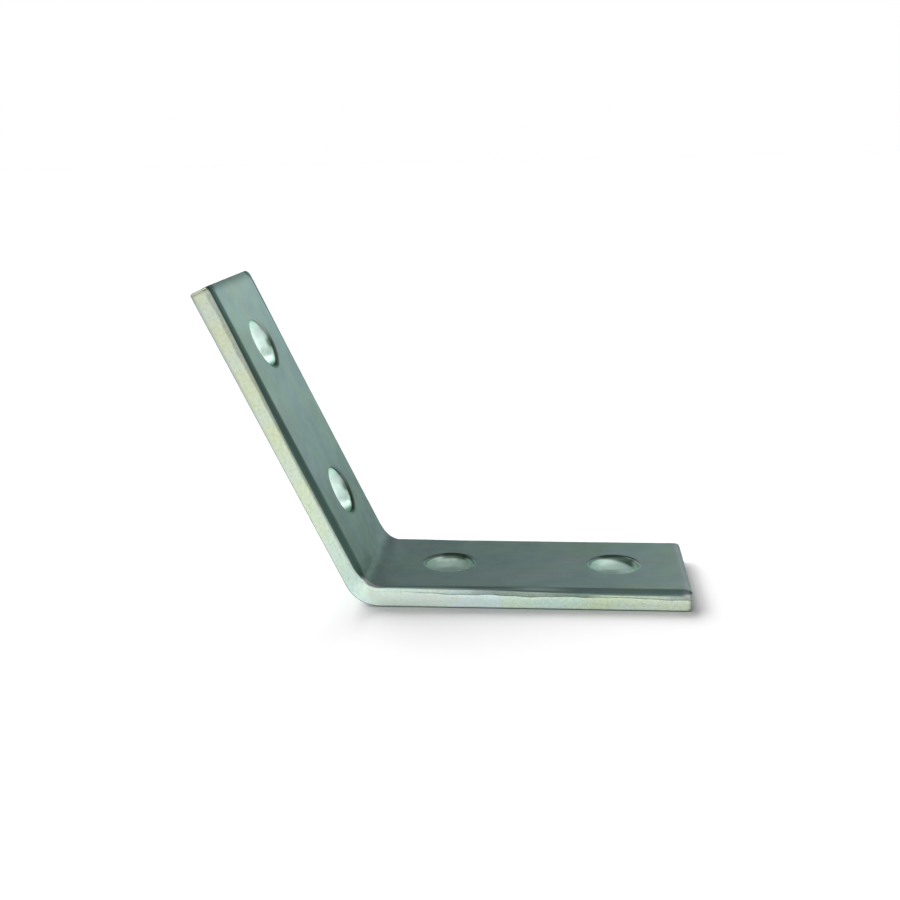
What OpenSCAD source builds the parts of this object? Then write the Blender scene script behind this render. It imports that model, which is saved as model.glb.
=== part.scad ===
// Obtuse angle bracket with two holes in each limb, blanked from thick steel plate and bent once.
// The inner faces look into the angle and the outer faces are their backs.
// The blanking and punching tools came down on the inner faces, so those edges are drawn in.
// Origin: midway between the base's two holes, on its outer face, which is the underside.
// +X runs along the base to its free end, +Y across the width, and +Z up, with the leg at -X.

/* [Plate] */
// Width of the blank
plate_w = 40; // [32:0.5:50]
// Thickness of the plate
plate_t = 6; // [4:0.25:8]
// Width of the drawn-in long edges, on the inner faces
edge_roll_w = 2.4; // [1.6:0.1:3]
// How far those edges have dropped below the inner face at the very side
edge_roll_drop = 1.2; // [0.4:0.1:1.4]
// Radius of the long edges on the outer faces
edge_round = 0.5; // [0.2:0.1:0.8]

/* [Bend] */
// Angle between the two inner faces, in degrees
inner_angle = 115; // [95:1:150]
// Radius of the bend on the inner faces
bend_r = 5; // [2:0.5:8]
// How far the squeezed metal stands out of each side at the inside of the bend
bulge_out = 0.6; // [0.2:0.1:0.8]
// Width of that bulge where it leaves the side
bulge_w = 6; // [4:0.5:8]
// Depth of the bulge's highest point below the inner face
bulge_depth = 1.2; // [0.6:0.1:1.8]

/* [Limbs] */
// Base, from its free end to where the outer faces would meet in a sharp corner
base_len = 93; // [88:1:150]
// Leg, from its free end to the same corner
leg_len = 97; // [88:1:150]
// Length of the drawn-in edge at each free end, on the inner face
end_roll_len = 2.6; // [1.5:0.1:4]
// How far that edge has dropped below the inner face at the very end
end_roll_drop = 1; // [0.4:0.1:1.4]

/* [Holes] */
// Diameter of the bolt holes
hole_d = 14; // [9:0.25:18]
// Distance between the centres of the two holes in a limb
hole_pitch = 48; // [40:0.5:52]
// Distance from a limb's free end to the centre of the hole nearest it
end_margin = 20.5; // [16:0.5:25]
// Radius of the drawn-in rim of a hole, on the inner face
rim_roll = 1; // [0.3:0.1:1.4]
// Height of the torn cone in the mouth of a hole, on the outer face
tear_h = 1.5; // [0.5:0.1:2]
// How far the torn cone has widened at the outer face, in radius
tear_out = 0.3; // [0.1:0.05:0.5]

/* [Hidden] */
$fn = 96;
// How far a cutter runs past the surface that it cuts
over = 1;
// How far, in degrees, a limb's arc runs past the middle of the bend before it is cut there
arc_over = 5;
// How deep into the side of the plate a bulge is rooted
root_depth = edge_roll_w + 1;
hole_r = hole_d / 2;
turn = 180 - inner_angle;
outer_bend_r = bend_r + plate_t;
// Distance from the sharp outer corner to either end of the bend, along the outer faces
setback = outer_bend_r / tan(inner_angle / 2);
base_hole_mid = base_len - end_margin - hole_pitch / 2;
// A bulge is the cap of a ball whose centre lies inside the plate
ball_r = (bulge_w * bulge_w / 4 + bulge_out * bulge_out) / (2 * bulge_out);
ball_y = plate_w / 2 + bulge_out - ball_r;

// Space beyond an edge that curves away over a length and ends a drop below its face.
// The sharp edge would be at the origin, with the metal at -X and -Y.
module curved_edge_space(len, drop) {
    arc_r = (len * len + drop * drop) / (2 * drop);
    translate([-len, -arc_r])
        difference() {
            square([len + over, arc_r + over]);
            circle(r = arc_r);
        }
}

// Section of the plate, with its width along X, its thickness along Y and the inner face on top
module plate_section() {
    difference() {
        translate([-plate_w / 2, 0]) square([plate_w, plate_t]);
        for (side = [0, 1])
            mirror([side, 0]) {
                translate([plate_w / 2, plate_t]) curved_edge_space(edge_roll_w, edge_roll_drop);
                translate([plate_w / 2, 0]) mirror([0, 1]) curved_edge_space(edge_round, edge_round);
            }
    }
}

// Strip of the plate's section along one side, square-edged and wide enough to hold a bulge
module side_strip(side) {
    strip_w = root_depth + over;
    translate([side * (plate_w / 2 + over - strip_w / 2), plate_t / 2])
        square([strip_w, plate_t], center = true);
}

// Sweeps a section along a limb, from its free end to just past the middle of the bend.
// The bend turns about the Y axis, and the straight part runs along +X below it.
module sweep_along_limb(len) {
    translate([0, 0, -outer_bend_r])
        rotate([90, 0, 90])
            linear_extrude(height = len - setback) children();
    rotate([-90, 90, 0])
        rotate_extrude(angle = turn / 2 + arc_over)
            translate([outer_bend_r, 0]) rotate(90) children();
}

// Metal squeezed out of one side at the inside of the bend, flush with the inner face
module bend_bulge(len, side) {
    intersection() {
        sweep_along_limb(len) side_strip(side);
        rotate([0, turn / 2, 0])
            translate([0, side * ball_y, -bend_r - bulge_depth]) sphere(r = ball_r);
    }
}

// Cutter for a free end: a long drawn-in edge on the inner face and a small round on the outer
module end_cutter() {
    translate([0, plate_w / 2 + over, 0])
        rotate([90, 0, 0])
            linear_extrude(height = plate_w + 2 * over) {
                translate([0, plate_t]) curved_edge_space(end_roll_len, end_roll_drop);
                mirror([0, 1]) curved_edge_space(edge_round, edge_round);
            }
}

// Cutter for a punched hole, standing on the outer face: torn cone, straight wall, drawn-in rim
module hole_cutter() {
    tear_slope = tear_out / tear_h;
    rotate_extrude() {
        polygon([
            [0, -over], [hole_r + tear_out + over * tear_slope, -over],
            [hole_r, tear_h], [hole_r, plate_t + over], [0, plate_t + over]
        ]);
        translate([hole_r + rim_roll, plate_t - rim_roll])
            difference() {
                translate([-rim_roll, 0]) square([rim_roll, rim_roll + over]);
                circle(r = rim_roll);
            }
    }
}

// One limb with its part of the bend, its two holes and its finished end
module limb(len) {
    difference() {
        union() {
            sweep_along_limb(len) plate_section();
            for (side = [-1, 1]) bend_bulge(len, side);
        }
        translate([len - setback, 0, -outer_bend_r]) {
            for (i = [0, 1])
                translate([-end_margin - i * hole_pitch, 0, 0]) hole_cutter();
            end_cutter();
        }
    }
}

// Half of the bracket, on the +X side of the bend's middle plane, which is X = 0
module half_bracket(len) {
    cut_size = outer_bend_r + over;
    difference() {
        rotate([0, -turn / 2, 0]) limb(len);
        translate([-cut_size, -plate_w, -cut_size]) cube([cut_size, 2 * plate_w, cut_size]);
    }
}

// The two halves meet in the bend's middle plane, and the base is then laid flat
module angle_bracket() {
    color([0.72, 0.77, 0.75])
        translate([setback - base_hole_mid, 0, outer_bend_r])
            rotate([0, turn / 2, 0]) {
                half_bracket(base_len);
                mirror([1, 0, 0]) half_bracket(leg_len);
            }
}

angle_bracket();
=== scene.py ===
"""An obtuse angle bracket of thick zinc-plated steel, standing on its base on a pale floor.

The plate is meshed flat, as the blank it was punched from, and then bent round its bend axis.
A point of the blank has three coordinates in millimetres: s along the blank (0 in the middle
of the bend, the base at +s and the leg at -s), y across it, and w up from its outer face.
"""

import math
from types import SimpleNamespace

import bpy
import numpy as np
from mathutils import Matrix, Vector, noise


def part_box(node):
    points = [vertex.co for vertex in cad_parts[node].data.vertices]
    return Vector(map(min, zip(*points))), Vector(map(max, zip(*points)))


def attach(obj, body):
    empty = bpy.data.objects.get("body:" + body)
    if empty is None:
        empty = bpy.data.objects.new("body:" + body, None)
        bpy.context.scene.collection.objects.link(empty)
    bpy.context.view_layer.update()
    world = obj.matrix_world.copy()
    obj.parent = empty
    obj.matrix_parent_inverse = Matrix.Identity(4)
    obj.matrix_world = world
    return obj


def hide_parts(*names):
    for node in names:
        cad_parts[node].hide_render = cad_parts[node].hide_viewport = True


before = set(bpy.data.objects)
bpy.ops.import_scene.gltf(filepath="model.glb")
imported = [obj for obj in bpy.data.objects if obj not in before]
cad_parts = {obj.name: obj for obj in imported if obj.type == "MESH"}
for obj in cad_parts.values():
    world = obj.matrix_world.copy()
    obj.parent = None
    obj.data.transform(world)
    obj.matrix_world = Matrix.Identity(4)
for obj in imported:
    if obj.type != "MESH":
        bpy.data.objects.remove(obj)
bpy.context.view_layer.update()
base_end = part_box("angle_bracket")[1]

# Driving sizes, in millimetres and degrees
MM = 0.001
PLATE_W = 40.0
PLATE_T = 6.0
INNER_ANGLE = 115.0
BEND_R = 5.0
BASE_LEN = 93.0
LEG_LEN = 97.0
HOLE_R = 7.0
HOLE_PITCH = 48.0
END_MARGIN = 20.5

# Drawn-in edges of the inner face: width on the face and drop below it
LEG_ROLL_WIDTH = 2.6
LEG_TOP_WIDTH = 3.5
LEG_ROLL_DROP = 1.7
LEG_TOP_DROP = 0.5
BASE_ROLL_WIDTH = 1.6
BASE_ROLL_DROP = 1.7
BEND_ROLL = 0.7
LEG_END_ROLL_LEN = 3.2
BASE_END_ROLL_LEN = 2.6
END_ROLL_DROP = 1.0
END_ROLL_SKEW = 0.16
LEG_RIM_WIDTH = 1.3
BASE_RIM_WIDTH = 0.9
RIM_DROP = 0.9
CORNER_R = 1.2

# How strongly a drawn-in edge takes its painted dark reflection: the leg's sides not at all up
# to the first of these widths and fully from the second, and the leg's free end by this share
ROLL_SHOWS = (0.8, 1.8)
LEG_END_ROLLED = 0.55

# Stretches over which the side edges change, as distances from the middle of the bend
LEG_ROLL_GROWS = (2.5, 8.0)
LEG_ROLL_WIDENS = (50.0, 92.0)
LEG_ROLL_FLATTENS = (40.0, 92.0)
BASE_ROLL_WIDENS = (8.0, 28.0)
BASE_ROLL_DEEPENS = (26.0, 72.0)

# Where the sheared walls tear: (place along the blank, depth below the inner face)
TEAR_LINE = ((-95.0, 1.85), (-55.0, 1.9), (-30.0, 2.0), (0.0, 1.3), (10.0, 1.5), (18.0, 1.8),
             (26.0, 1.9), (37.0, 2.05), (48.0, 2.25), (60.0, 2.25), (70.0, 2.1), (80.0, 2.55),
             (91.0, 2.6))
LEAST_LAND = 0.35

# The tear line's unevenness: (share of the land's height, rate and start in radians)
TEAR_WAVES = ((0.12, 0.31, 0.0), (0.08, 0.83, 1.0))

# Depths from the tear line over which the wall goes back and its shine ends, and the height
# above its foot from which it comes out again
TORN_FROM = (-0.1, 0.15)
BURNISH_ENDS = (-0.3, 0.35)
TORN_FOOT = 0.9

# How far the torn wall and the groove above it lie back, and where along the base that is full
TEAR_DEPTH = 0.13
TEAR_FULL_FROM = (6.0, 26.0)
TEAR_SHARE_ON_LEG = 0.2
GROOVE_DEPTH = 0.08
GROOVE_WIDTH = 0.16
GROOVE_BELOW = 0.1

# Edges of the outer face
OUTER_ROUND = 0.35

# Holes: height of the smooth land, and the torn mouth on the outer face
HOLE_LAND = 1.4
MOUTH_H = 1.5
MOUTH_OUT = 0.3
MOUTH_TEARS_EARLY = 0.4
MOUTH_LIP = 0.2

# A hole's tear: (height, waves round the hole, how much its start follows the hole's place),
# and the height over which it fades
BORE_TEAR_WAVES = ((0.35, 2, 1), (0.2, 5, 0))
BORE_TEAR_FADE = 0.15

# Metal squeezed out at the inside of the bend, and drawn in at the outside
BULGE_OUT = 0.6
BULGE_SPREAD = 3.0
BULGE_DEPTH = 1.2
BULGE_HEIGHT = 2.2
BULGE_ROOT = 5.0
PINCH_IN = 0.25
PINCH_HEIGHT = 2.0

# Unevenness: heights of the waves on the faces, and of the grain on the sheared walls
LONG_WAVE, LONG_WAVE_H = 17.0, 0.030
SHORT_WAVE, SHORT_WAVE_H = 5.0, 0.012
SHORT_WAVE_SHIFT = (7.0, 3.0, 0.0)
WALL_GRAIN_H = 0.030
WALL_GRAIN_RATES = (0.9, 0.9, 0.6)
BORE_GRAIN_H = 0.05
BORE_GRAIN_RATE = 4

# Mesh density
ARC_STEPS = 8
CELL_HALF = 15.0
CELL_STEPS = 28
PATCH_RINGS = 9
PATCH_EASE = 1.35
BEND_STEPS = 40
SPAN_STEP = 1.2
LAND_ROWS = 9
TORN_ROWS = 8
BORE_ROWS = 14
END_FILL = 3
SIDE_FILL = 4

# How far the fine rows run past the bend, the tear line and a drawn-in edge
PAST_BEND = 1.0
PAST_TEAR = 0.4
PAST_ROLL = 0.2

# Worked out from the sizes
TURN = math.radians(180.0 - INNER_ANGLE)
OUTER_BEND_R = BEND_R + PLATE_T
SETBACK = OUTER_BEND_R / math.tan(math.radians(INNER_ANGLE / 2))
HALF_ARC = (BEND_R + PLATE_T / 2) * TURN / 2
S_BASE_END = HALF_ARC + BASE_LEN - SETBACK
S_LEG_END = -HALF_ARC - (LEG_LEN - SETBACK)
BEND_X = base_end.x / MM - (BASE_LEN - SETBACK)
HALF_W = PLATE_W / 2
END_REACH = END_MARGIN - CELL_HALF
SIDE_REACH = HALF_W - CELL_HALF
FIRST_CELL_ROW = ARC_STEPS + 1 + SIDE_FILL

# Centres of the holes along the blank, from the leg's free end to the base's
HOLES = (
    S_LEG_END + END_MARGIN, S_LEG_END + END_MARGIN + HOLE_PITCH,
    S_BASE_END - END_MARGIN - HOLE_PITCH, S_BASE_END - END_MARGIN,
)
FIRST_BASE_HOLE = 2

# What is known of each point of the mesh, from 0 to 1
MARKS = ("sheared", "rolled", "land", "bored", "dark")


def smooth_step(x, low, high):
    t = min(max((x - low) / (high - low), 0.0), 1.0)
    return t * t * (3 - 2 * t)


def hump(x, rise, fall):
    """1 between two stretches over which it rises and falls."""
    return smooth_step(x, *rise) * (1 - smooth_step(x, *fall))


def bell(x, middle, width):
    return math.exp(-(((x - middle) / width) ** 2))


def between(a, b, share):
    return a + (b - a) * share


def side_roll(s):
    """(width, drop) of the drawn-in side edge: pressed out at the bend, shallow up the leg."""
    if s < 0:
        width_share = drop_share = smooth_step(-s, *LEG_ROLL_GROWS)
        full_width = between(LEG_ROLL_WIDTH, LEG_TOP_WIDTH, smooth_step(-s, *LEG_ROLL_WIDENS))
        full_drop = between(LEG_ROLL_DROP, LEG_TOP_DROP, smooth_step(-s, *LEG_ROLL_FLATTENS))
    else:
        width_share = smooth_step(s, *BASE_ROLL_WIDENS)
        drop_share = smooth_step(s, *BASE_ROLL_DEEPENS)
        full_width, full_drop = BASE_ROLL_WIDTH, BASE_ROLL_DROP
    return between(BEND_ROLL, full_width, width_share), between(BEND_ROLL, full_drop, drop_share)


def tear_depth(s):
    """Depth of the tear line below the drawn-in edge, slightly uneven along the blank."""
    line = float(np.interp(s, *zip(*TEAR_LINE)))
    land = max(LEAST_LAND, line - side_roll(s)[1])
    return land * (1 + sum(share * math.sin(s * rate + start) for share, rate, start in TEAR_WAVES))


def bent(point):
    """Place of a blank point on the bent bracket, in metres."""
    s, y, w = point
    if s > HALF_ARC:
        x, z = BEND_X + s - HALF_ARC, w
    else:
        turned = min((HALF_ARC - s) * TURN / (2 * HALF_ARC), TURN)
        beyond = max(-HALF_ARC - s, 0.0)
        radius = OUTER_BEND_R - w
        x = BEND_X - radius * math.sin(turned) - beyond * math.cos(TURN)
        z = OUTER_BEND_R - radius * math.cos(turned) + beyond * math.sin(TURN)
    return Vector((x, y, z)) * MM


class Blank:
    """The flat blank's mesh: points, faces and marks, which say how sheared, drawn in, burnished
    and bored each point is, and how much painted dark reflection it takes."""

    def __init__(self):
        self.points = []
        self.faces = []
        self.marks = {name: [] for name in MARKS}

    def add(self, point, **marks):
        self.points.append(point)
        for name in MARKS:
            self.marks[name].append(marks.get(name, 0.0))
        return len(self.points) - 1

    def strip(self, first, second, flip=False):
        """Joins two closed rows of equal length with quads."""
        for i in range(len(first)):
            j = (i + 1) % len(first)
            quad = (first[i], first[j], second[j], second[i])
            self.faces.append(quad[::-1] if flip else quad)


def arc_angles():
    return [math.pi / 2 * k / ARC_STEPS for k in range(ARC_STEPS + 1)]


def edge_rows(length, drop, reach, fill):
    """Rows from a free edge inwards, up to reach: (distance from the edge, drop, how rolled)."""
    rows = []
    for angle in arc_angles():
        rows.append((length * (1 - math.cos(angle)), drop * (1 - math.sin(angle)), math.cos(angle)))
    start = length + PAST_ROLL
    rows.append((start, 0.0, 0.0))
    for i in range(1, fill + 1):
        rows.append((between(start, reach, i / fill), 0.0, 0.0))
    return rows


def steps_to(first, last, count):
    """Evenly spaced stations after first, up to and with last."""
    return [between(first, last, (k + 1) / count) for k in range(count)]


def columns():
    """Columns of the grid along the blank, and the first and last column of each hole's square.
    A column is ("mid", its s) or, near a free end, ("leg" or "base", its number from that end)."""
    end_count = ARC_STEPS + 2 + END_FILL
    columns_out = [("leg", k) for k in range(end_count)]
    squares = []
    s = HOLES[0] - CELL_HALF

    def go_to(target, count=None):
        nonlocal s
        count = count or max(1, round((target - s) / SPAN_STEP))
        columns_out.extend(("mid", v) for v in steps_to(s, target, count))
        s = target

    for i, hole in enumerate(HOLES):
        if i == FIRST_BASE_HOLE:
            go_to(-HALF_ARC - PAST_BEND)
            go_to(HALF_ARC + PAST_BEND, BEND_STEPS)
        if i:
            go_to(hole - CELL_HALF)
        squares.append((len(columns_out) - 1, len(columns_out) - 1 + CELL_STEPS))
        go_to(hole + CELL_HALF, CELL_STEPS)
    columns_out.pop()
    columns_out.extend(("base", k) for k in reversed(range(end_count)))
    return columns_out, squares


def rounded_corner(from_end, from_side):
    """Draws the plan's square corner into a quarter circle."""
    if from_end >= CORNER_R or from_side >= CORNER_R:
        return from_end, from_side
    p = 1 - from_end / CORNER_R
    q = 1 - from_side / CORNER_R
    shrink = max(p, q) / max(math.hypot(p, q), 1e-9)
    return CORNER_R * (1 - p * shrink), CORNER_R * (1 - q * shrink)


def end_row(kind, index, y, inner):
    """Distance from the free end, drop and how rolled, for a column near an end.
    The roll is a little skewed across, and only the leg's takes the painted dark reflection of
    the side edges."""
    if not inner:
        return edge_rows(OUTER_ROUND, OUTER_ROUND, END_REACH, END_FILL)[index]
    on_leg = kind == "leg"
    lean = END_ROLL_SKEW * y / HALF_W * (1 if on_leg else -1)
    length = LEG_END_ROLL_LEN if on_leg else BASE_END_ROLL_LEN
    away, drop, rolled = edge_rows(length * (1 + lean), END_ROLL_DROP, END_REACH, END_FILL)[index]
    return away, drop, rolled * (LEG_END_ROLLED if on_leg else 0.0)


def face_rows():
    """Rows of the grid across the blank: (side, number from that side), or (0, y) in the middle."""
    per_side = range(ARC_STEPS + 2 + SIDE_FILL)
    rows = [(-1, k) for k in per_side]
    rows += [(0, y) for y in steps_to(-CELL_HALF, CELL_HALF, CELL_STEPS)[:-1]]
    rows += [(1, k) for k in reversed(per_side)]
    return rows


def face_grid(blank, cols, squares, inner):
    """One face of the plate as a grid of point indices, without the squares round the holes."""
    rows = face_rows()
    grid = np.full((len(cols), len(rows)), -1, int)
    for c, (kind, value) in enumerate(cols):
        s = {"mid": value, "leg": S_LEG_END, "base": S_BASE_END}[kind]
        width, depth = side_roll(s) if inner else (OUTER_ROUND, OUTER_ROUND)
        side_rows = edge_rows(width, depth, SIDE_REACH, SIDE_FILL)
        in_square = any(first < c < last for first, last in squares)
        for r, (side, at) in enumerate(rows):
            if in_square and not side:
                continue
            from_side, side_drop, rolled = side_rows[at] if side else (HALF_W - abs(at), 0.0, 0.0)
            if s < 0:
                rolled *= smooth_step(width, *ROLL_SHOWS)
            drop = side_drop
            if kind != "mid":
                edge_y = side * HALF_W if side else at
                from_end, end_drop, end_rolled = end_row(kind, value, edge_y, inner)
                from_end, from_side = rounded_corner(from_end, from_side)
                drop = math.hypot(end_drop, side_drop)
                rolled = max(end_rolled, rolled)
                s = S_LEG_END + from_end if kind == "leg" else S_BASE_END - from_end
            y = side * (HALF_W - from_side) if side else at
            w = PLATE_T - drop if inner else drop
            grid[c, r] = blank.add((s, y, w), rolled=rolled if inner else 0.0)
    return grid


def grid_faces(blank, grid, squares, inner):
    for c in range(grid.shape[0] - 1):
        at_square = any(first <= c < last for first, last in squares)
        for r in range(grid.shape[1] - 1):
            if at_square and FIRST_CELL_ROW <= r < FIRST_CELL_ROW + CELL_STEPS:
                continue
            quad = (grid[c, r], grid[c + 1, r], grid[c + 1, r + 1], grid[c, r + 1])
            blank.faces.append(quad if inner else quad[::-1])


def loop_round(grid, first_c, last_c, first_r, last_r):
    """Grid points round a rectangle, starting at its corner at -s, -y."""
    loop = [grid[c, first_r] for c in range(first_c, last_c)]
    loop += [grid[last_c, r] for r in range(first_r, last_r)]
    loop += [grid[c, last_r] for c in range(last_c, first_c, -1)]
    loop += [grid[first_c, r] for r in range(last_r, first_r, -1)]
    return loop


def hole_rings(rim_width):
    """Rings from the inner face's flat, over the rim, down the wall and out on the outer face.
    Each is (radius, w, how sheared, how rolled)."""
    rings = [(HOLE_R + rim_width + PAST_ROLL, PLATE_T, 0.0, 0.0)]
    for angle in reversed(arc_angles()):
        rolled = math.cos(angle)
        radius = HOLE_R + rim_width * (1 - rolled)
        w = PLATE_T - RIM_DROP * (1 - math.sin(angle))
        rings.append((radius, w, smooth_step(rolled, 0.97, 1.0), rolled))
    wall_foot = 0.4 * OUTER_ROUND
    for w in steps_to(PLATE_T - RIM_DROP, wall_foot, BORE_ROWS):
        torn = smooth_step(MOUTH_H + MOUTH_TEARS_EARLY - w, 0.0, MOUTH_H)
        rings.append((HOLE_R + MOUTH_OUT * torn, w, 1.0, 0.0))
    mouth_r = HOLE_R + MOUTH_OUT
    for angle in arc_angles()[2::2]:
        radius = mouth_r + MOUTH_LIP * (1 - math.cos(angle))
        w = MOUTH_LIP * (1 - math.sin(angle))
        rings.append((radius, w, 1.0 - angle / (math.pi / 2), 0.0))
    rings.append((mouth_r + MOUTH_LIP + PAST_ROLL, 0.0, 0.0, 0.0))
    return rings


def bore_darkness(index, angle, w):
    """Dark patches in a bore, seen in the photograph where the smooth metal mirrors its room.
    The angle is in degrees, 0 towards the base's end and 90 towards the back."""
    if index < FIRST_BASE_HOLE:
        spot = 1.3 * bell(angle, 82.0, 15.0) * bell(w, 5.1, 0.9)
        tip = 1 - smooth_step(angle, 12.0, 34.0) if -60.0 < angle < 90.0 else 0.0
        return max(spot, tip)
    if index == FIRST_BASE_HOLE:
        return hump(angle, (46.0, 58.0), (104.0, 120.0)) * smooth_step(w, 4.2, 4.8)
    low_edge = 3.4 + 1.7 * (angle - 45.0) / 70.0
    across = hump(angle, (26.0, 44.0), (112.0, 132.0))
    return across * smooth_step(w, low_edge - 0.3, low_edge + 0.4)


def add_ring(blank, index, angles, ring):
    """One ring of points in a hole, rougher and wider where the wall is torn."""
    radius, w, sheared, rolled = ring
    centre = HOLES[index]
    land_foot = PLATE_T - RIM_DROP - HOLE_LAND
    ids = []
    for a in angles:
        waves = (height * math.sin(count * a + follows * centre)
                 for height, count, follows in BORE_TEAR_WAVES)
        tear = land_foot + sum(waves)
        land = smooth_step(w, tear - BORE_TEAR_FADE, tear + BORE_TEAR_FADE) * sheared
        place = Vector((math.cos(a), math.sin(a), 0.0)) * BORE_GRAIN_RATE
        grain = BORE_GRAIN_H * noise.noise(place + Vector((0.0, 0.0, w + centre)))
        r = radius + grain * sheared * (1 - land)
        on_wall = rolled + sheared > 0.1
        dark = min(1.0, bore_darkness(index, math.degrees(a), w)) if on_wall else 0.0
        ids.append(blank.add((centre + r * math.cos(a), r * math.sin(a), w), sheared=sheared,
                             rolled=rolled, land=land, bored=sheared, dark=dark))
    return ids


def add_patch(blank, circle, square, w, inner):
    """The flat metal between a hole and the square round it."""
    previous = circle
    for k in range(1, PATCH_RINGS):
        share = (k / PATCH_RINGS) ** PATCH_EASE
        row = []
        for i, j in zip(circle, square):
            a, b = blank.points[i], blank.points[j]
            row.append(blank.add((between(a[0], b[0], share), between(a[1], b[1], share), w)))
        blank.strip(previous, row, flip=inner)
        previous = row
    blank.strip(previous, square, flip=inner)


def add_hole(blank, index, inner_loop, outer_loop):
    count = len(inner_loop)
    angles = [math.radians(-135.0 + 360.0 * i / count) for i in range(count)]
    rim_width = LEG_RIM_WIDTH if index < FIRST_BASE_HOLE else BASE_RIM_WIDTH
    rings = [add_ring(blank, index, angles, ring) for ring in hole_rings(rim_width)]
    for first, second in zip(rings, rings[1:]):
        blank.strip(first, second)
    add_patch(blank, rings[0], inner_loop, PLATE_T, inner=True)
    add_patch(blank, rings[-1], outer_loop, 0.0, inner=False)


def wall_inset(s, depth, total):
    """How far the sheared wall lies back, at a depth below the drawn-in edge."""
    land = tear_depth(s)
    strength = between(TEAR_SHARE_ON_LEG, 1.0, smooth_step(s, *TEAR_FULL_FROM))
    torn = hump(depth, (land + TORN_FROM[0], land + TORN_FROM[1]), (total - TORN_FOOT, total))
    groove = bell(depth, land + GROOVE_BELOW, GROOVE_WIDTH)
    return strength * (TEAR_DEPTH * torn + GROOVE_DEPTH * groove)


def add_walls(blank, inner_loop, outer_loop):
    """The sheared wall all round the blank: a smooth land under the drawn-in edge, then torn."""
    count = len(inner_loop)
    normals = []
    for i in range(count):
        before = blank.points[inner_loop[i - 1]]
        after = blank.points[inner_loop[(i + 1) % count]]
        normals.append(Vector((after[1] - before[1], before[0] - after[0])).normalized())
    rows = [inner_loop]
    for k in range(1, LAND_ROWS + TORN_ROWS):
        row = []
        for normal, top, bottom in zip(normals, inner_loop, outer_loop):
            s, y, w_top = blank.points[top]
            total = w_top - blank.points[bottom][2]
            land = tear_depth(s)
            split = land + PAST_TEAR
            if k <= LAND_ROWS:
                depth = split * k / LAND_ROWS
            else:
                depth = between(split, total, (k - LAND_ROWS) / TORN_ROWS)
            inset = wall_inset(s, depth, total)
            burnished = 1 - smooth_step(depth - land, *BURNISH_ENDS)
            point = (s - normal.x * inset, y - normal.y * inset, w_top - depth)
            row.append(blank.add(point, sheared=1.0, land=burnished))
        rows.append(row)
    rows.append(outer_loop)
    for i in inner_loop + outer_loop:
        blank.marks["sheared"][i] = 1.0
    for i in inner_loop:
        blank.marks["land"][i] = 1.0
    for first, second in zip(rows, rows[1:]):
        blank.strip(first, second, flip=True)


def squeeze_and_wave(point, sheared):
    """Adds what the bend squeezed out of the sides and the plate's slight unevenness."""
    s, y, w = point
    near_side = smooth_step(abs(y), HALF_W - BULGE_ROOT, HALF_W)
    bulge = BULGE_OUT * bell(w, PLATE_T - BULGE_DEPTH, BULGE_HEIGHT)
    pinch = PINCH_IN * bell(w, 0.0, PINCH_HEIGHT)
    y += math.copysign(bell(s, 0.0, BULGE_SPREAD) * near_side * (bulge - pinch), y)

    place = Vector((s, y, 0.0))
    wave = LONG_WAVE_H * noise.noise(place / LONG_WAVE)
    wave += SHORT_WAVE_H * noise.noise(place / SHORT_WAVE + Vector(SHORT_WAVE_SHIFT))
    w += wave * smooth_step(w, PLATE_T / 2, PLATE_T - 0.5) * (1 - sheared)

    place = Vector((s, y, w)) * Vector(WALL_GRAIN_RATES)
    grain = WALL_GRAIN_H * noise.noise(place) * sheared
    y += math.copysign(grain * smooth_step(abs(y), HALF_W - 1.6, HALF_W - 0.4), y)
    return s, y, w


def link(thing):
    bpy.context.scene.collection.objects.link(thing)
    return thing


def build_plate():
    blank = Blank()
    cols, squares = columns()
    grids = []
    for inner in (True, False):
        grid = face_grid(blank, cols, squares, inner)
        grid_faces(blank, grid, squares, inner)
        grids.append(grid)
    for index, (first, last) in enumerate(squares):
        rows = (FIRST_CELL_ROW, FIRST_CELL_ROW + CELL_STEPS)
        add_hole(blank, index, *(loop_round(grid, first, last, *rows) for grid in grids))
    last_c, last_r = (size - 1 for size in grids[0].shape)
    add_walls(blank, *(loop_round(grid, 0, last_c, 0, last_r) for grid in grids))

    shaped = [squeeze_and_wave(p, a) for p, a in zip(blank.points, blank.marks["sheared"])]
    faces = [tuple(int(i) for i in face) for face in blank.faces]
    mesh = bpy.data.meshes.new("zinc_plate_mesh")
    mesh.from_pydata([bent(p) for p in shaped], [], faces)
    mesh.validate()
    where = mesh.attributes.new("blank_mm", "FLOAT_VECTOR", "POINT")
    where.data.foreach_set("vector", np.array(shaped, np.float32).ravel())
    for name in MARKS:
        layer = mesh.attributes.new(name, "FLOAT", "POINT")
        layer.data.foreach_set("value", np.array(blank.marks[name], np.float32))
    mesh.polygons.foreach_set("use_smooth", [True] * len(mesh.polygons))
    return link(bpy.data.objects.new("bent_plate", mesh))


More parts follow.
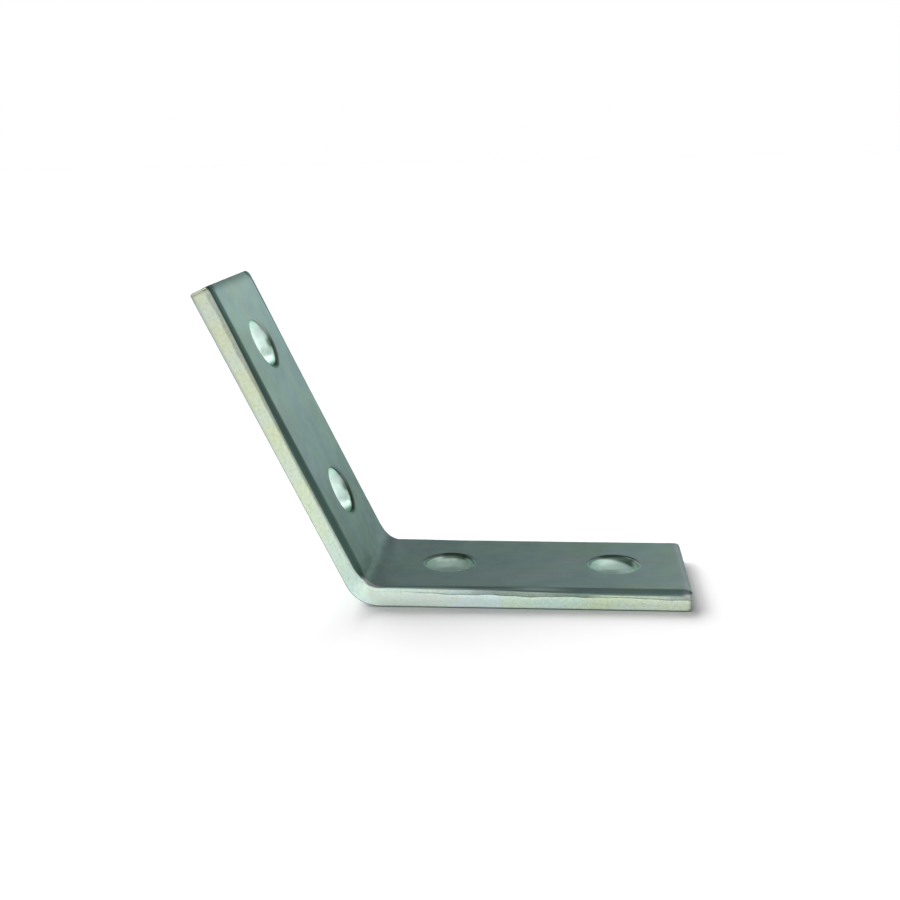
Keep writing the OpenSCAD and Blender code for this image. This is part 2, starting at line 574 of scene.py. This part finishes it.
class Nodes:
    """Short calls for building a node tree. Colours are given as three numbers."""

    def __init__(self, owner):
        owner.use_nodes = True
        self.tree = owner.node_tree
        self.tree.nodes.clear()

    def add(self, kind, inputs=None, **settings):
        node = self.tree.nodes.new(kind)
        for name, value in settings.items():
            setattr(node, name, value)
        for name, value in (inputs or {}).items():
            socket = node.inputs[name]
            if isinstance(value, bpy.types.NodeSocket):
                self.tree.links.new(value, socket)
            else:
                socket.default_value = (*value, 1.0) if socket.type == "RGBA" else value
        return node

    def attribute(self, name, output):
        return self.add("ShaderNodeAttribute", attribute_name=name).outputs[output]

    def math(self, operation, a, b=0.0, clamp=False):
        node = self.add("ShaderNodeMath", {0: a, 1: b}, operation=operation, use_clamp=clamp)
        return node.outputs[0]

    def product(self, first, *others):
        for other in others:
            first = self.math("MULTIPLY", first, other)
        return first

    def absolute(self, value):
        return self.math("ABSOLUTE", value)

    def rest(self, value):
        """What a value leaves of 1."""
        return self.math("SUBTRACT", 1.0, value)

    def range(self, value, low, high, to_low=0.0, to_high=1.0):
        inputs = {"Value": value, "From Min": low, "From Max": high,
                  "To Min": to_low, "To Max": to_high}
        node = self.add("ShaderNodeMapRange", inputs, interpolation_type="SMOOTHSTEP")
        return node.outputs["Result"]

    def mix(self, factor, a, b, blend_type="MIX"):
        """Mixes two colours."""
        inputs = {0: factor, 6: a, 7: b}
        return self.add("ShaderNodeMix", inputs, data_type="RGBA", blend_type=blend_type).outputs[2]

    def tint(self, colour, other, share=1.0):
        """Multiplies a colour by another, fully or by a share."""
        return self.mix(share, colour, other, "MULTIPLY")

    def blend(self, factor, a, b):
        """Mixes two numbers."""
        return self.add("ShaderNodeMix", {0: factor, 2: a, 3: b}, data_type="FLOAT").outputs[0]

    def ramp(self, value, stops):
        """A colour or brightness given at rising values, blended smoothly between them."""
        low, high = stops[0][0], stops[-1][0]
        inputs = {"Value": value, "From Min": low, "From Max": high}
        factor = self.add("ShaderNodeMapRange", inputs).outputs[0]
        node = self.add("ShaderNodeValToRGB", {0: factor})
        node.color_ramp.interpolation = "EASE"
        points = node.color_ramp.elements

        def rgba(level):
            return (*level, 1.0) if isinstance(level, tuple) else (level, level, level, 1.0)

        points[0].color = rgba(stops[0][1])
        points[1].color = rgba(stops[-1][1])
        for at, level in stops[1:-1]:
            points.new((at - low) / (high - low)).color = rgba(level)
        return node.outputs[0]

    def noise(self, vector, stretch, detail, rough, warp=0.0):
        """Soft noise, with a number of cycles for each millimetre along each axis."""
        inputs = {0: vector, 1: stretch}
        vector = self.add("ShaderNodeVectorMath", inputs, operation="MULTIPLY").outputs[0]
        inputs = {"Vector": vector, "Scale": 1.0, "Detail": detail, "Roughness": rough,
                  "Distortion": warp}
        return self.add("ShaderNodeTexNoise", inputs).outputs["Fac"]


def read_plate(n):
    """What the plating's nodes read: the place on the blank, the marks and the shared grain."""
    p = SimpleNamespace()
    p.blank = n.attribute("blank_mm", "Vector")
    for name in MARKS:
        setattr(p, name, n.attribute(name, "Fac"))
    p.along, p.across, p.height = n.add("ShaderNodeSeparateXYZ", {0: p.blank}).outputs
    p.off_middle = n.absolute(p.across)
    p.to_base_end = n.math("SUBTRACT", S_BASE_END, p.along)
    p.inner_side = n.range(p.height, 2.5, 4.5)
    p.unsheared = n.rest(p.sheared)
    p.unbored = n.rest(p.bored)
    p.lines = n.noise(p.blank, (0.08, 2.6, 0.3), 4.0, 0.65)
    p.drift = n.noise(p.blank, (0.12, 0.12, 0.12), 2.0, 0.5)
    p.speckle = n.noise(p.blank, (0.9, 1.0, 1.0), 3.0, 0.65)
    return p


def face_colour(n, p):
    """The rolled faces: blue-green, with a lilac tinge in places."""
    patches = n.noise(p.blank, (0.045, 0.11, 0.1), 3.0, 0.55, 0.6)
    colour = n.mix(n.range(patches, 0.40, 0.62), (0.394, 0.494, 0.4375), (0.375, 0.469, 0.481))
    lilac = n.noise(p.blank, (0.03, 0.09, 0.1), 2.0, 0.5, 0.4)
    colour = n.mix(n.range(lilac, 0.56, 0.72, 0.0, 0.5), colour, (0.450, 0.4625, 0.481))

    # Painted shade and reflection: the inner face's brightness is fitted to the photograph and
    # stands for what the metal mirrored; it is darkest just above the bend, where the other limb
    # shades it. How much of it is plating and how much is what the metal mirrored there isn't
    # known.
    level = n.ramp(p.along, [
        (S_LEG_END, 1.0), (-62.0, 0.69), (-42.0, 0.56), (-20.0, 0.33), (-8.0, 0.26), (-1.0, 0.38),
        (3.5, 0.66), (10.0, 0.66), (37.0, 0.76), (55.0, 0.88), (S_BASE_END, 1.17),
    ])
    # Painted reflection: past the bend, the base's inner face is a little lighter towards the front
    painted_front_sheen = n.range(p.across, -HALF_W, HALF_W, 1.06, 0.94)
    level = n.mix(n.range(p.along, 4.0, 12.0), level, n.product(level, painted_front_sheen))
    colour = n.tint(colour, n.mix(p.inner_side, (0.8, 0.8, 0.8), level))

    # Fine rolling lines
    return n.tint(colour, (0.72, 0.78, 0.77), n.range(p.lines, 0.3, 0.7, 0.0, 0.35))


def torn_colour(n, p):
    """The torn walls: mint to yellow along the blank, with a speckle and fine pits."""
    # Partly painted reflection: the walls' brightness along the blank, darker up the leg and
    # brightest on the base near the bend, stands for what they mirror; the mint to yellow tint is
    # their own.
    colour = n.ramp(p.along, [
        (S_LEG_END, (0.57, 0.65, 0.54)), (-50.0, (0.59, 0.69, 0.55)), (-14.0, (0.60, 0.74, 0.64)),
        (-6.0, (0.57, 0.73, 0.64)), (2.0, (0.79, 1.0, 0.93)), (26.0, (0.80, 1.0, 0.95)),
        (55.0, (0.68, 0.88, 0.78)), (64.0, (0.66, 0.82, 0.67)), (S_BASE_END, (0.71, 0.84, 0.72)),
    ])
    colour = n.tint(colour, (1.03, 0.99, 0.84), n.range(p.drift, 0.38, 0.60, 0.0, 0.7))
    colour = n.tint(colour, (1.22, 1.15, 1.22), n.range(p.speckle, 0.36, 0.64, 0.0, 0.8))
    pits = n.range(n.noise(p.blank, (1.1, 1.3, 1.3), 2.0, 0.5), 0.52, 0.72)
    pit_level = n.range(p.along, -14.0, 4.0, 0.30, 0.14)
    colour = n.mix(n.product(pits, pit_level), colour, (0.34, 0.42, 0.33))

    # Painted shade: the leg's outer edge is a little darker towards its free end
    painted_outer_edge_shade = n.range(p.height, 0.3, 1.3, 1.0, 0.0)
    painted_outer_edge_shade = n.product(painted_outer_edge_shade, n.range(p.along, -75.0, -35.0, 0.55, 0.0))
    return n.mix(painted_outer_edge_shade, colour, (0.36, 0.40, 0.38))


def wall_colour(n, p):
    """All sheared walls: torn metal, paler holes, and the smooth, greyer land above the tear."""
    bore = n.mix(n.range(p.drift, 0.35, 0.65), (0.83, 1.0, 0.95), (0.86, 1.0, 0.92))
    colour = n.mix(p.bored, torn_colour(n, p), bore)

    # Painted reflection: the land's brightness along the blank is fitted to the photograph too,
    # and stands for what the smooth land mirrors
    burnish = n.noise(p.blank, (0.5, 0.5, 0.1), 3.0, 0.6)
    land = n.tint(colour, (0.86, 0.90, 0.92), n.range(burnish, 0.35, 0.65, 1.0, 0.0))
    land = n.tint(land, n.ramp(p.along, [
        (S_LEG_END, 0.64), (-62.0, 0.50), (-30.0, 0.47), (0.0, 0.95), (14.0, 0.88), (26.0, 0.72),
        (37.0, 0.40), (48.0, 0.45), (60.0, 0.33), (69.0, 0.86), (79.0, 0.74), (S_BASE_END, 0.50),
    ]))
    colour = n.mix(n.product(p.land, p.unbored), colour, land)

    # Painted shade: a dark line in the groove where the land ends
    level = n.ramp(p.along, [
        (S_LEG_END, 0.0), (6.0, 0.15), (18.0, 0.30), (26.0, 0.42), (37.0, 0.65), (48.0, 0.25),
        (S_BASE_END, 0.15),
    ])
    rise, fall = n.range(p.land, 0.05, 0.5), n.range(p.land, 0.5, 0.95, 1.0, 0.0)
    return n.mix(n.product(rise, fall, p.unbored, level), colour, (0.13, 0.18, 0.16))


def with_painted_edge_reflections(n, p, colour):
    """Adds painted reflections on the smooth drawn-in edges: dark green on the leg, paler and
    uneven on the base.
    """
    painted_base_edge = n.ramp(p.along, [
        (0.0, (0.34, 0.51, 0.46)), (18.0, (0.34, 0.51, 0.46)), (30.0, (0.22, 0.34, 0.31)),
        (38.0, (0.26, 0.40, 0.36)), (48.0, (0.62, 0.84, 0.79)), (60.0, (0.30, 0.45, 0.41)),
        (S_BASE_END, (0.29, 0.44, 0.40)),
    ])
    painted_edge_colour = n.mix(n.range(p.along, -3.0, 8.0), (0.062, 0.112, 0.094), painted_base_edge)
    level = n.range(p.off_middle, 15.5, 16.3, 0.20, 0.94)
    painted_edge_mask = n.product(n.range(p.rolled, 0.05, 0.40), p.unsheared, level)
    colour = n.mix(painted_edge_mask, colour, painted_edge_colour)

    # Painted highlight: beyond the bend, the outer part of the base's edge stays bright for
    # a while
    outermost = n.product(n.range(p.off_middle, 17.0, 17.5), p.unsheared)
    level = n.ramp(p.along, [
        (0.0, 1.0), (22.0, 0.95), (37.0, 0.55), (50.0, 0.30), (58.0, 0.0), (S_BASE_END, 0.0),
    ])
    level = n.product(level, n.range(p.along, -1.0, 4.0))
    painted_edge_highlight = n.product(n.range(p.rolled, 0.60, 0.88), level, outermost)
    colour = n.mix(painted_edge_highlight, colour, (0.70, 0.86, 0.80))

    # Painted dark reflection: further on, the steep part of that edge is as dark as the land
    # below it
    painted_dark_edge = n.product(n.range(p.rolled, 0.75, 0.96), n.range(p.along, 28.0, 46.0), outermost)
    return n.mix(painted_dark_edge, colour, (0.15, 0.23, 0.21))


def with_local_marks(n, p, colour):
    """Adds what is seen in one place only."""
    # Small dark noisy patches on the inside of the bend, near the front
    bend_dark_patches = n.product(
        n.range(n.noise(p.blank, (0.45, 0.8, 0.0), 3.0, 0.6), 0.55, 0.66),
        n.range(n.absolute(p.along), 2.5, 5.0, 0.7, 0.0),
        n.range(p.across, -12.0, -4.0, 1.0, 0.0),
        n.math("SUBTRACT", p.inner_side, p.sheared, clamp=True),
    )
    colour = n.tint(colour, (0.40, 0.48, 0.44), bend_dark_patches)

    # Painted reflection: dark patches in the holes, where the smooth metal mirrors its room
    colour = n.mix(n.product(p.dark, 0.85), colour, (0.080, 0.130, 0.095))

    # Painted reflection: the base's drawn-in end is lilac grey, with painted shade darkening it
    # towards the very edge
    painted_end_reflection = n.range(p.to_base_end, 1.4, 3.2, 1.0, 0.0)
    painted_end_reflection = n.product(painted_end_reflection, p.unsheared, n.range(p.height, 4.0, 4.6))
    painted_end_edge_shade = n.range(p.to_base_end, 0.2, 1.3, 1.0, 0.0)
    colour = n.mix(painted_end_reflection, colour, n.mix(painted_end_edge_shade, (0.50, 0.52, 0.55), (0.20, 0.22, 0.22)))

    # The walls at the base's rounded corners mirror something dark beside it
    corner = n.product(n.range(p.to_base_end, 0.2, 1.4, 1.0, 0.0), p.sheared, 0.75)
    colour = n.mix(corner, colour, (0.16, 0.19, 0.18))

    # Painted highlight: the metal pressed up at the sides of the bend is bright
    painted_lip_highlight = n.product(
        n.range(n.absolute(n.math("ADD", p.along, -0.5)), 3.0, 6.0, 1.0, 0.0),
        n.range(p.off_middle, HALF_W - 0.7, HALF_W - 0.2),
        n.range(p.height, PLATE_T - 1.0, PLATE_T - 0.6),
    )
    return n.mix(painted_lip_highlight, colour, (0.72, 0.80, 0.76))


def roughness(n, p):
    """Satin faces, duller torn walls and smoother land."""
    blotch = n.noise(p.blank, (0.22, 0.22, 0.22), 4.0, 0.6)
    face = n.range(blotch, 0.3, 0.7, 0.35, 0.43)
    torn = n.range(p.speckle, 0.3, 0.7, 0.42, 0.60)
    return n.blend(p.sheared, face, n.blend(p.land, torn, n.blend(p.bored, 0.30, 0.34)))


def relief(n, p):
    """Rolling lines and orange peel on the faces, torn grain on the walls."""
    peel = n.noise(p.blank, (0.9, 0.9, 0.9), 3.0, 0.55)
    face = n.math("ADD", n.product(p.lines, 0.1225), n.product(peel, 0.2275))
    torn = n.noise(p.blank, (1.6, 1.6, 0.7), 5.0, 0.7)
    height = n.blend(p.sheared, face, n.blend(p.land, torn, n.product(torn, 0.2)))
    inputs = {"Height": height, "Strength": 0.35, "Distance": 0.12 * MM}
    return n.add("ShaderNodeBump", inputs).outputs[0]


def zinc_material():
    """Bright electro-plated zinc: blue-green on the rolled faces, paler where it was sheared,
    with painted shade, highlights and reflections in its colour.
    """
    material = bpy.data.materials.new("zinc_plating")
    n = Nodes(material)
    p = read_plate(n)
    colour = n.mix(p.sheared, face_colour(n, p), wall_colour(n, p))
    colour = with_painted_edge_reflections(n, p, colour)
    colour = with_local_marks(n, p, colour)
    shader = n.add("ShaderNodeBsdfPrincipled", {
        "Base Color": colour, "Metallic": 1.0, "Roughness": roughness(n, p),
        "Normal": relief(n, p), "Specular Tint": (0.72, 0.95, 0.88),
    })
    n.add("ShaderNodeOutputMaterial", {"Surface": shader.outputs[0]})
    return material


def floor_material():
    material = bpy.data.materials.new("pale_floor")
    n = Nodes(material)
    shader = n.add("ShaderNodeBsdfDiffuse", {"Color": (0.97, 0.97, 0.97), "Roughness": 0.0})
    n.add("ShaderNodeOutputMaterial", {"Surface": shader.outputs[0]})
    return material


def add_floor():
    """A wide pale floor, a hair below the base so that the two don't share a plane."""
    half, z = 8.0, -0.03 * MM
    corners = [(-half, -half, z), (half, -half, z), (half, half, z), (-half, half, z)]
    mesh = bpy.data.meshes.new("floor_mesh")
    mesh.from_pydata(corners, [], [(0, 1, 2, 3)])
    mesh.materials.append(floor_material())
    return link(bpy.data.objects.new("floor", mesh))


def studio_world():
    """A white horizon under a greyer ceiling, which starts between 10 and 27 degrees up."""
    ceiling_level = 0.20
    world = bpy.data.worlds.new("studio")
    bpy.context.scene.world = world
    n = Nodes(world)
    direction = n.add("ShaderNodeTexCoord").outputs["Generated"]
    up = n.add("ShaderNodeSeparateXYZ", {0: direction}).outputs[2]
    level = n.range(up, 0.18, 0.46, 1.0, ceiling_level)
    colour = n.add("ShaderNodeCombineColor", {0: level, 1: level, 2: level}).outputs[0]
    background = n.add("ShaderNodeBackground", {"Color": colour, "Strength": 1.0})
    n.add("ShaderNodeOutputWorld", {"Surface": background.outputs[0]})


def direction_to(azimuth, elevation):
    """Unit vector, with azimuth measured from the front (-Y) towards +X. Both are in radians."""
    level = math.cos(elevation)
    return Vector((math.sin(azimuth) * level, -math.cos(azimuth) * level, math.sin(elevation)))


def add_sun(name, azimuth, elevation, strength, spread, mirrored=True):
    """A soft lamp far away, with its angles in degrees."""
    light = bpy.data.lights.new(name, "SUN")
    light.energy = strength
    light.angle = math.radians(spread)
    lamp = link(bpy.data.objects.new(name, light))
    towards = direction_to(math.radians(azimuth), math.radians(elevation))
    lamp.rotation_euler = towards.to_track_quat("Z", "Y").to_euler()
    lamp.visible_glossy = mirrored


def add_camera():
    """The photograph's camera, with its place, direction, roll and focal length fitted to the
    bracket's corners."""
    place = Vector((9.4, -311.3, 124.7)) * MM
    azimuth, pitch, roll = math.radians(5.96), math.radians(15.11), math.radians(-1.37)
    focal_px, image_px, sensor_mm = 1130.4, 900.0, 36.0
    back = direction_to(azimuth, pitch)
    right = Vector((math.cos(azimuth), math.sin(azimuth), 0.0))
    up = back.cross(right)
    turned_right = right * math.cos(roll) + up * math.sin(roll)
    turned_up = up * math.cos(roll) - right * math.sin(roll)
    data = bpy.data.cameras.new("photo_camera")
    data.sensor_width = sensor_mm
    data.lens = sensor_mm * focal_px / image_px
    data.clip_start = 0.01
    camera = link(bpy.data.objects.new("photo_camera", data))
    axes = Matrix((turned_right, turned_up, back)).transposed().to_4x4()
    camera.matrix_world = Matrix.Translation(place) @ axes
    bpy.context.scene.camera = camera


plate = build_plate()
plate.data.materials.append(zinc_material())
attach(plate, "root")
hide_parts("angle_bracket")

add_floor()
studio_world()
add_sun("back_light", azimuth=-138.0, elevation=24.0, strength=5.0, spread=70.0, mirrored=False)
add_sun("high_light", azimuth=-165.0, elevation=46.0, strength=0.6, spread=30.0, mirrored=False)
add_sun("left_light", azimuth=-87.0, elevation=46.0, strength=0.48, spread=14.0)
add_camera()
bpy.context.scene.view_settings.view_transform = "Standard"
